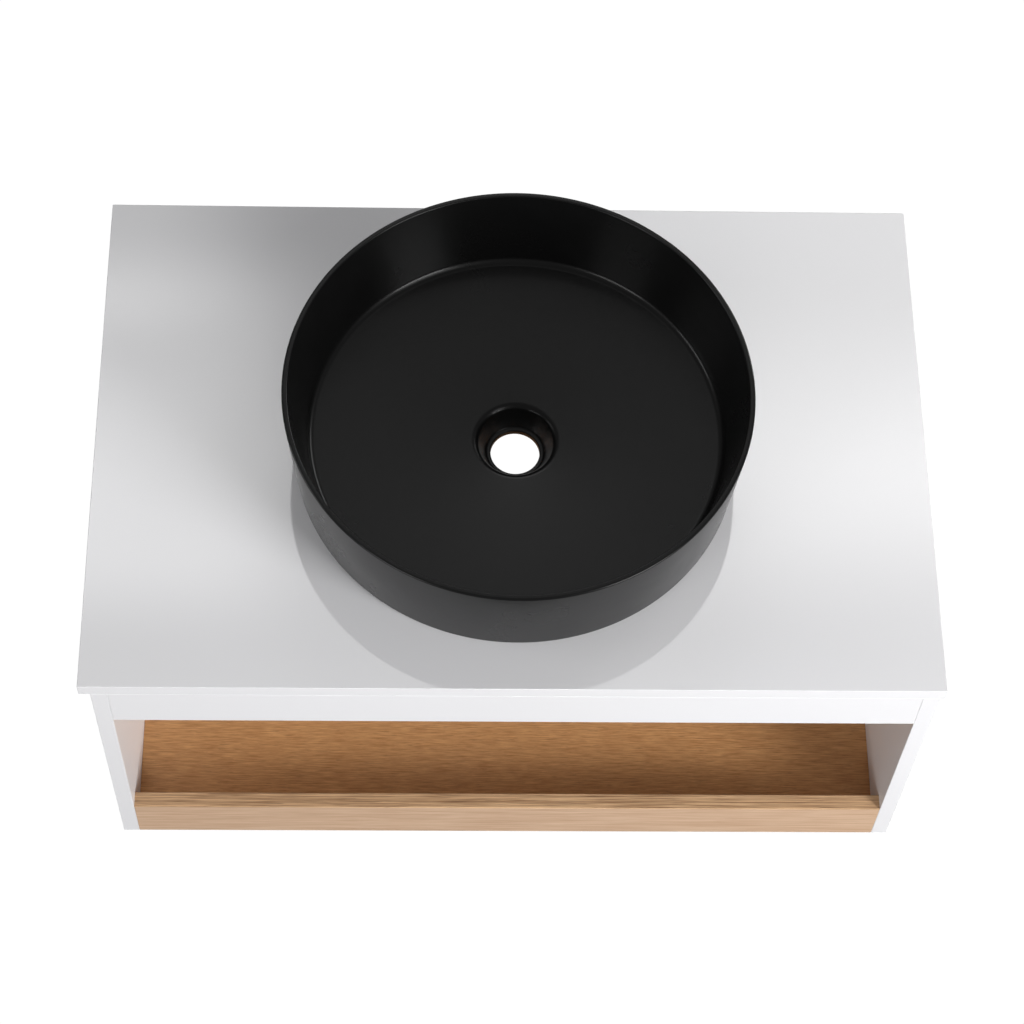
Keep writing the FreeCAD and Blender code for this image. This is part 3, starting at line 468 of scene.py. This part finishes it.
def make_materials():
    """One material for each slot of the record."""
    white = (0.79, 0.787, 0.805, 1)
    white_warm = (0.78, 0.774, 0.785, 1)
    zinc = {"Metal": (0.70, 0.71, 0.73, 1), "Tint": (0.60, 0.64, 0.72, 1), "Pits": 0.05}
    return {
        "white_gloss_lacquer": finish_material(
            "white_gloss_lacquer",
            "lacquer",
            {"Paint": white, "Warm Drift": white_warm, "Gloss": 0.045, "Wipe Marks": 0.03},
            relief=0.00001,
        ),
        "white_satin_lacquer": finish_material(
            "white_satin_lacquer",
            "lacquer",
            {
                "Paint": white,
                "Warm Drift": white_warm,
                "Gloss": 0.28,
                "Wipe Marks": 0.08,
                "Peel": 0.8,
            },
            relief=0.00003,
        ),
        "oak_floor": finish_material(
            "oak_floor",
            "oak",
            {
                "Streak Run": (14.0, 230.0, 230.0),
                "Fibre Run": (48.0, 760.0, 760.0),
                "Pale": (0.78, 0.43, 0.185, 1),
                "Deep": (0.46, 0.205, 0.067, 1),
                "Pore Shade": (0.20, 0.085, 0.03, 1),
                "Streaks": 0.35,
                "Fibres": 2.3,
                "Pores": 0.35,
                "Cloud": 0.05,
                "Matt": 0.5,
            },
            relief=0.00010,
        ),
        "oak_face": finish_material(
            "oak_face",
            "oak",
            {
                "Streak Run": (6.0, 300.0, 300.0),
                "Fibre Run": (18.0, 640.0, 640.0),
                "Pale": (0.64, 0.45, 0.31, 1),
                "Deep": (0.48, 0.30, 0.185, 1),
                "Pore Shade": (0.36, 0.23, 0.14, 1),
                "Streaks": 1.2,
                "Fibres": 2.8,
                "Pores": 0.25,
                "Cloud": 0.1,
                "Matt": 0.5,
            },
            relief=0.00008,
        ),
        "oak_edge": finish_material(
            "oak_edge",
            "oak",
            {
                "Streak Run": (5.0, 620.0, 620.0),
                "Fibre Run": (18.0, 850.0, 850.0),
                "Pale": (0.74, 0.48, 0.27, 1),
                "Deep": (0.30, 0.165, 0.08, 1),
                "Pore Shade": (0.16, 0.085, 0.04, 1),
                "Streaks": 2.4,
                "Fibres": 2.8,
                "Pores": 0.6,
                "Cloud": 0.1,
                "Matt": 0.55,
            },
            relief=0.00015,
        ),
        "black_glaze": finish_material(
            "black_glaze", "glaze", {}, relief=0.00003, shine=0.26, coat=0.12
        ),
        "zinc_steel": finish_material("zinc_steel", "plated", zinc, relief=0.00003, metal=1.0),
        "die_cast_zinc": finish_material(
            "die_cast_zinc",
            "plated",
            {
                "Metal": (0.50, 0.51, 0.53, 1),
                "Tint": (0.42, 0.43, 0.45, 1),
                "Polish": 0.46,
                "Brushing": (400.0, 400.0, 400.0),
                "Pits": 0.35,
            },
            relief=0.00006,
            metal=1.0,
        ),
        "screw_steel": finish_material(
            "screw_steel",
            "plated",
            {"Metal": (0.66, 0.60, 0.42, 1), "Tint": (0.60, 0.62, 0.50, 1), "Polish": 0.26},
            relief=0.00002,
            metal=1.0,
        ),
        "clear_seal": finish_material(
            "clear_seal",
            "lacquer",
            {"Paint": (0.72, 0.72, 0.70, 1), "Gloss": 0.3, "Peel": 1.0},
            relief=0.00005,
        ),
        "beech": finish_material(
            "beech",
            "oak",
            {
                "Streak Run": (12.0, 160.0, 160.0),
                "Fibre Run": (60.0, 900.0, 900.0),
                "Pale": (0.66, 0.48, 0.31, 1),
                "Deep": (0.55, 0.37, 0.22, 1),
                "Pore Shade": (0.36, 0.21, 0.12, 1),
                "Pores": 0.5,
            },
            relief=0.00005,
        ),
    }


def dress_cad_nodes(materials):
    """Give every carried-over node the material of its slot."""
    for part in frame["record"]["subparts"]:
        mesh = frame["nodes"][part["node"]].data
        mesh.materials.clear()
        mesh.materials.append(materials[part["material_slot"]])


# ------------------------------------------------------------------ mesh helpers
# degrees between two faces from which their edge is drawn sharp
SHARP_ANGLE = 32
SCREW_SHARP_ANGLE = 50
CORNER_STEPS = 10
LATHE_SEGMENTS = 256


def new_piece(name, mesh, body, slot):
    """A finished mesh as a piece that rides on a body and takes its slot's material."""
    mesh.materials.append(MATERIALS[slot])
    piece = bpy.data.objects.new(name, mesh)
    bpy.context.scene.collection.objects.link(piece)
    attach(piece, body)
    return piece


def rounded_corner(before, corner, after, radius):
    """Points of the arc that rounds one corner of an outline."""
    back, ahead = (before - corner).normalized(), (after - corner).normalized()
    half = back.angle(ahead) / 2
    reach = radius / math.tan(half)
    start, finish = corner + back * reach, corner + ahead * reach
    centre = corner + (back + ahead).normalized() * (radius / math.sin(half))
    sweep = (start - centre).angle_signed(finish - centre)
    angles = [-sweep * step / CORNER_STEPS for step in range(CORNER_STEPS + 1)]
    return [centre + Matrix.Rotation(angle, 2) @ (start - centre) for angle in angles]


def rounded_outline(corners):
    """A closed outline from (distance, height, rounding) corners in millimetres."""
    flat = [Vector((distance, height)) for distance, height, _ in corners]
    points = []
    for index, (_, _, rounding) in enumerate(corners):
        corner, before, after = flat[index], flat[index - 1], flat[(index + 1) % len(flat)]
        if rounding:
            points += rounded_corner(before, corner, after, rounding)
        else:
            points.append(corner)
    return points


def lathe(name, outline, centre):
    """Turn a closed outline about the upright axis through the centre."""
    verts, faces = [], []
    for step in range(LATHE_SEGMENTS):
        angle = math.tau * step / LATHE_SEGMENTS
        for point in outline:
            across, up = point.x * MM, point.y * MM
            verts.append(centre + Vector((across * math.cos(angle), across * math.sin(angle), up)))
    count = len(outline)
    for step in range(LATHE_SEGMENTS):
        here, there = step * count, (step + 1) % LATHE_SEGMENTS * count
        for index in range(count):
            ahead = (index + 1) % count
            faces.append((here + index, there + index, there + ahead, here + ahead))
    mesh = bpy.data.meshes.new(name)
    mesh.from_pydata(verts, [], faces)
    shade(mesh)
    return mesh


def shade(mesh, sharp=SHARP_ANGLE):
    """Outward normals, smooth faces and sharp edges above an angle."""
    bm = bmesh.new()
    bm.from_mesh(mesh)
    bmesh.ops.recalc_face_normals(bm, faces=bm.faces)
    for face in bm.faces:
        face.smooth = True
    for edge in bm.edges:
        edge.smooth = edge.calc_face_angle(0) < math.radians(sharp)
    bm.to_mesh(mesh)
    bm.free()


# ------------------------------------------------------------------ metal fittings
BODIES = frame["record"]["behaviour"]["bodies"]
BODY_OF = {node: body for body, nodes in BODIES.items() for node in nodes}
SLOT_OF = {part["node"]: part["material_slot"] for part in frame["record"]["subparts"]}

MERGE_WITHIN = 1e-6
FLAT_ANGLE = math.radians(1)
HARD_ANGLE = math.radians(35)


def ease_edges(node, width):
    """The pressed or cast piece with every hard edge broken by a small round."""
    bm = bmesh.new()
    bm.from_mesh(frame["nodes"][node].data)
    bmesh.ops.remove_doubles(bm, verts=bm.verts, dist=MERGE_WITHIN)
    bmesh.ops.dissolve_limit(bm, angle_limit=FLAT_ANGLE, verts=bm.verts, edges=bm.edges)
    hard = [edge for edge in bm.edges if edge.is_manifold and edge.calc_face_angle(0) > HARD_ANGLE]
    round_over = {"segments": 2, "profile": 0.7, "affect": "EDGES", "clamp_overlap": True}
    bmesh.ops.bevel(bm, geom=hard, offset=width, **round_over)
    mesh = bpy.data.meshes.new(f"{node}_eased")
    bm.to_mesh(mesh)
    bm.free()
    shade(mesh)
    piece = new_piece(f"{node}_eased", mesh, BODY_OF[node], SLOT_OF[node])
    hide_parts(node)


def skin(name, loops):
    """Join rings of equally many points into a closed shell, with a fan at each end."""
    count = len(loops[0])
    verts = [point for loop in loops for point in loop]
    faces = []
    for row in range(len(loops) - 1):
        for step in range(count):
            here, there = row * count + step, row * count + (step + 1) % count
            faces.append((here, there, there + count, here + count))
    faces.append(tuple(range(count)))
    faces.append(tuple(range(len(verts) - count, len(verts))))
    mesh = bpy.data.meshes.new(name)
    mesh.from_pydata(verts, [], faces)
    shade(mesh, SCREW_SHARP_ANGLE)
    return mesh


# millimetres, apart from the steps of a ring
SCREW_STEPS = 48
THREAD_PITCH = 1.0
THREAD_DEPTH = 0.42
THREAD_ROWS_A_TURN = 6


def round_ring(radius, height):
    """A ring of (radius, angle, height) points."""
    return [(radius, math.tau * step / SCREW_STEPS, height) for step in range(SCREW_STEPS)]


def hexagon_ring(corner, height):
    """A ring that follows a hexagon of that corner radius."""
    sixth = math.tau / 6
    flat = corner * math.cos(sixth / 2)
    ring = []
    for step in range(SCREW_STEPS):
        angle = math.tau * step / SCREW_STEPS
        ring.append((flat / math.cos(angle % sixth - sixth / 2), angle, height))
    return ring


def thread_rings(radius, low, high):
    """Rings of a threaded shank: the depth of the groove follows the helix."""
    rings = []
    rows = int((high - low) / THREAD_PITCH * THREAD_ROWS_A_TURN)
    for row in range(rows + 1):
        height = low + (high - low) * row / rows
        run_out = min(1.0, (height - low) / THREAD_PITCH, (high - height) / THREAD_PITCH)
        ring = []
        for step in range(SCREW_STEPS):
            phase = (height / THREAD_PITCH - step / SCREW_STEPS) % 1.0
            groove = THREAD_DEPTH * run_out * (1 - abs(2 * phase - 1))
            ring.append((radius - groove, math.tau * step / SCREW_STEPS, height))
        rings.append(ring)
    return rings


def adjusting_screw(node, wall):
    """A socket head screw with a real thread: its head and collar hold a wall between them."""
    low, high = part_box(node)
    length_axis = 2 if high.z - low.z > high.y - low.y else 1
    centre = (low + high) / 2
    centre[length_axis] = low[length_axis]
    length = (high[length_axis] - low[length_axis]) / MM
    head, head_height, head_edge = 6.0, 4.0, 0.3
    head_round, head_arc = 0.7, 0.21
    socket, socket_depth, socket_floor = 2.3, 2.5, 0.69
    flare, flare_depth = 0.35, 0.3
    stem, gap = 3.0, 0.3
    collar, collar_height, collar_edge = 4.8, 1.5, 0.25
    tip, tip_height, tip_edge, tip_edge_height = 2.1, 1.2, 0.2, 0.1
    collar_low = head_height + gap + wall + gap
    thread_low = collar_low + collar_height
    rings = [
        hexagon_ring(socket_floor, socket_depth),
        hexagon_ring(socket, socket_depth),
        hexagon_ring(socket, flare_depth),
        hexagon_ring(socket + flare, 0.0),
        round_ring(head - head_round, 0.0),
        round_ring(head - head_arc, head_arc),
        round_ring(head, head_round),
        round_ring(head, head_height - head_edge),
        round_ring(head - head_edge, head_height),
        round_ring(stem, head_height),
        round_ring(stem, collar_low),
        round_ring(collar - collar_edge, collar_low),
        round_ring(collar, collar_low + collar_edge),
        round_ring(collar, thread_low - collar_edge),
        round_ring(collar - collar_edge, thread_low),
        *thread_rings(stem, thread_low, length - tip_height),
        round_ring(tip, length - tip_edge_height),
        round_ring(tip - tip_edge, length),
    ]
    loops = []
    for ring in rings:
        loop = []
        for radius, angle, along in ring:
            across, aside = radius * math.cos(angle), radius * math.sin(angle)
            offset = (across, aside, along) if length_axis == 2 else (aside, along, across)
            loop.append(centre + MM * Vector(offset))
        loops.append(loop)
    mesh = skin(f"{node}_threaded", loops)
    piece = new_piece(f"{node}_threaded", mesh, BODY_OF[node], SLOT_OF[node])
    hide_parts(node)


# millimetres: the wall that each screw's head and collar hold, and how far edges are rounded
HELD_WALLS = {"height_screw": 2.5, "depth_screw": 8.0}
SIDE_EDGES = {
    "hanger_housing": 0.35,
    "hanger_slider": 0.4,
    "hanger_hook": 0.5,
    "wall_plate": 0.4,
}
SHARED_EDGES = {
    "corner_braces": 0.4,
    "brace_screws": 0.12,
    "hanger_screws": 0.12,
    "cam_locks": 0.15,
}


def make_fittings():
    """The hangers of both sides, and the small hardware that the sides share."""
    for side in ("left", "right"):
        for screw, wall in HELD_WALLS.items():
            adjusting_screw(f"{screw}_{side}", wall)
        for fitting, width in SIDE_EDGES.items():
            ease_edges(f"{fitting}_{side}", width * MM)
    for hardware, width in SHARED_EDGES.items():
        ease_edges(hardware, width * MM)


# ------------------------------------------------------------------ basin
def throw_basin():
    """The glazed bowl: thin wall, nearly flat floor, soft sump and a ledge for the waste."""
    profile = (
        (22.6, -13, 1.2),
        (26.5, -13, 2.5),
        (36, 9.1, 8),
        (189, 20, 8),
        (205, 102, 1.3),
        (210, 102, 1.9),
        (202, 0, 4),
        (188, 0, 0.8),
        (185, 3, 1.5),
        (44, 3, 3),
        (36, -19, 1),
        (22.6, -19, 0.6),
    )
    centre = Vector((BASIN_CENTRE.x, BASIN_CENTRE.y, DECK))
    mesh = lathe("basin", rounded_outline(profile), centre)
    basin = new_piece("basin", mesh, "cabinet", "black_glaze")
    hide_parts("vessel_basin")
    return basin


# ------------------------------------------------------------------ the scene
place_camera()
lay_floor()
MATERIALS = make_materials()
dress_cad_nodes(MATERIALS)
bowl = throw_basin()
make_fittings()
light_the_studio(bowl)
